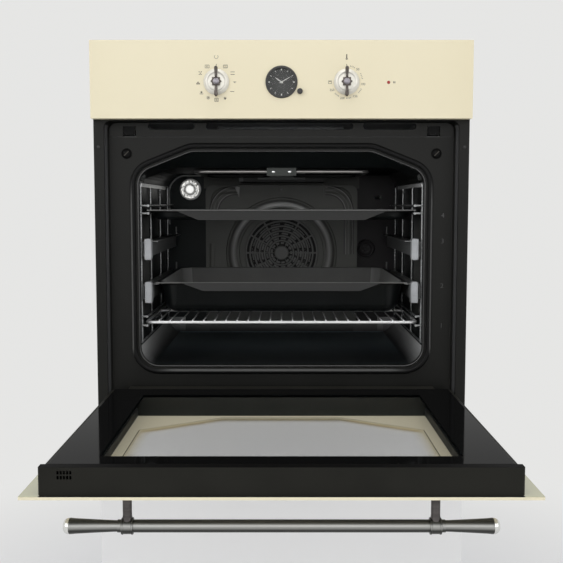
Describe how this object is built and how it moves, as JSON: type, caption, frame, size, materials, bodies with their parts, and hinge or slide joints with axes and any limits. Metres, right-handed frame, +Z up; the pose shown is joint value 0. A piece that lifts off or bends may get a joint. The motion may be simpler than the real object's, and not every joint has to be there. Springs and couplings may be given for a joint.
{
  "type": "built-in electric oven",
  "caption": "Built-in electric oven with a drop-down glass door, control knobs, an analogue clock, trays, a wire rack and telescopic runners.",
  "frame": {"origin": "middle of the width, underside of the base plate, at the front edge of the cabinet's side walls", "axes": "+X to the right seen from the front, +Y into the oven, +Z up"},
  "size_m": [0.595, 0.995, 0.635],
  "materials": {
    "cream_enamel": "cream enamel, satin",
    "zinc_sheet": "zinc-coated sheet, matt",
    "switch_plastic": "moulded, matt",
    "black_plastic": "moulded, satin",
    "dial_grey": "dark grey paint with pale marks",
    "clear_glass": "clear float glass",
    "lamp_red": "red lamp lens",
    "black_enamel": "satin black enamel",
    "black_rubber": "soft rubber",
    "seal_rubber": "silicone seal",
    "cavity_enamel": "glossy black enamel with fine specks",
    "mineral_wool": "glass wool",
    "heater_steel": "oxidised steel tube",
    "motor_steel": "pressed steel",
    "chrome_wire": "bright wire",
    "ceramic_white": "white ceramic",
    "lamp_glass": "pressed lamp glass",
    "runner_steel": "rolled steel, satin",
    "hinge_steel": "pressed steel",
    "knob_metal": "cream skirt with antique metal lever",
    "hand_metal": "silver paint",
    "tray_enamel": "dark grey enamel",
    "cream_glass": "back-printed glass, cream with a clear window",
    "dark_glass": "glass with black printed border",
    "door_black": "satin black paint",
    "pewter": "antique pewter, satin"
  },
  "bodies": {
    "casing": {"control_panel": "cream_enamel", "control_bracket": "zinc_sheet", "selector_switch": "switch_plastic", "thermostat": "switch_plastic", "clock_case": "black_plastic", "clock_dial": "dial_grey", "clock_glass": "clear_glass", "indicator_lamp": "lamp_red", "front_frame": "black_enamel", "air_outlet_strip": "black_enamel", "door_bumpers": "black_rubber", "door_gasket": "seal_rubber", "cavity": "cavity_enamel", "insulation": "mineral_wool", "side_panel_left": "zinc_sheet", "side_panel_right": "zinc_sheet", "top_cover": "zinc_sheet", "back_cover": "zinc_sheet", "base_plate": "zinc_sheet", "fan_cover": "cavity_enamel", "ring_heater": "heater_steel", "fan_motor": "motor_steel", "grill_element": "heater_steel", "grill_holder": "chrome_wire", "bottom_element": "heater_steel", "lamp_socket": "ceramic_white", "lamp_lens": "lamp_glass", "blank_cap": "cavity_enamel", "flue_cover": "cavity_enamel", "rack_support_left": "chrome_wire", "rack_support_right": "chrome_wire", "runner_outer_rails": "runner_steel", "cooling_fan_housing": "zinc_sheet", "terminal_block": "black_plastic", "hinge_arms": "hinge_steel"},
    "door": {"door_outer_glass": "cream_glass", "door_middle_glass": "clear_glass", "door_inner_glass": "dark_glass", "door_side_profiles": "door_black", "door_rails": "door_black", "glass_spacers": "black_plastic", "handle_bar": "pewter", "handle_posts": "pewter", "hinge_bodies": "hinge_steel"},
    "function_knob": {"function_knob": "knob_metal"},
    "thermostat_knob": {"thermostat_knob": "knob_metal"},
    "clock_set_knob": {"clock_set_knob": "black_plastic"},
    "minute_hand": {"minute_hand": "hand_metal"},
    "hour_hand": {"hour_hand": "hand_metal"},
    "convection_fan": {"convection_fan": "motor_steel"},
    "cooling_fan": {"cooling_fan": "motor_steel"},
    "upper_left_slide": {"upper_left_slide": "runner_steel"},
    "upper_left_middle": {"upper_left_middle": "runner_steel"},
    "upper_right_slide": {"upper_right_slide": "runner_steel"},
    "upper_right_middle": {"upper_right_middle": "runner_steel"},
    "shallow_tray": {"shallow_tray": "tray_enamel"},
    "wire_rack": {"wire_rack": "chrome_wire"},
    "lower_carriage": {"lower_runner_slides": "runner_steel", "deep_tray": "tray_enamel"},
    "lower_middles": {"lower_runner_middles": "runner_steel"}
  },
  "joints": [
    {"name": "door_hinge", "type": "hinge", "parent": "casing", "child": "door", "pos_m": [0, -0.00525, 0.02625], "axis": [1, 0, 0], "range_deg": [-90, 0]},
    {"name": "function_knob_turn", "type": "hinge", "parent": "casing", "child": "function_knob", "pos_m": [-0.101, -0.022, 0.531], "axis": [0, 1, 0], "continuous": true},
    {"name": "thermostat_knob_turn", "type": "hinge", "parent": "casing", "child": "thermostat_knob", "pos_m": [0.101, -0.022, 0.531], "axis": [0, 1, 0], "range_deg": [0, 275]},
    {"name": "clock_set_turn", "type": "hinge", "parent": "casing", "child": "clock_set_knob", "pos_m": [0.0286, -0.022, 0.5165], "axis": [0, 1, 0], "continuous": true},
    {"name": "minute_hand_turn", "type": "hinge", "parent": "casing", "child": "minute_hand", "pos_m": [0, -0.02, 0.531], "axis": [0, 1, 0], "continuous": true},
    {"name": "hour_hand_turn", "type": "hinge", "parent": "casing", "child": "hour_hand", "pos_m": [0, -0.02, 0.531], "axis": [0, 1, 0], "continuous": true},
    {"name": "convection_fan_spin", "type": "hinge", "parent": "casing", "child": "convection_fan", "pos_m": [0, 0.42, 0.243], "axis": [0, 1, 0], "continuous": true},
    {"name": "cooling_fan_spin", "type": "hinge", "parent": "casing", "child": "cooling_fan", "pos_m": [0, 0.126, 0.5082], "axis": [1, 0, 0], "continuous": true},
    {"name": "lower_runner_slide", "type": "slide", "parent": "casing", "child": "lower_carriage", "axis": [0, -1, 0], "range_m": [0, 0.3]},
    {"name": "lower_middle_slide", "type": "slide", "parent": "casing", "child": "lower_middles", "axis": [0, -1, 0], "range_m": [0, 0.15]},
    {"name": "upper_left_slide_out", "type": "slide", "parent": "casing", "child": "upper_left_slide", "axis": [0, -1, 0], "range_m": [0, 0.3]},
    {"name": "upper_left_middle_out", "type": "slide", "parent": "casing", "child": "upper_left_middle", "axis": [0, -1, 0], "range_m": [0, 0.15]},
    {"name": "upper_right_slide_out", "type": "slide", "parent": "casing", "child": "upper_right_slide", "axis": [0, -1, 0], "range_m": [0, 0.3]},
    {"name": "upper_right_middle_out", "type": "slide", "parent": "casing", "child": "upper_right_middle", "axis": [0, -1, 0], "range_m": [0, 0.15]},
    {"name": "shallow_tray_slide", "type": "slide", "parent": "casing", "child": "shallow_tray", "axis": [0, -1, 0], "range_m": [0, 0.2]},
    {"name": "wire_rack_slide", "type": "slide", "parent": "casing", "child": "wire_rack", "axis": [0, -1, 0], "range_m": [0, 0.2]}
  ],
  "couplings": [
    {"joint": "hour_hand_turn", "follows": "minute_hand_turn", "ratio": 0.083333},
    {"joint": "lower_middle_slide", "follows": "lower_runner_slide", "ratio": 0.5},
    {"joint": "upper_left_middle_out", "follows": "upper_left_slide_out", "ratio": 0.5},
    {"joint": "upper_right_middle_out", "follows": "upper_right_slide_out", "ratio": 0.5}
  ]
}
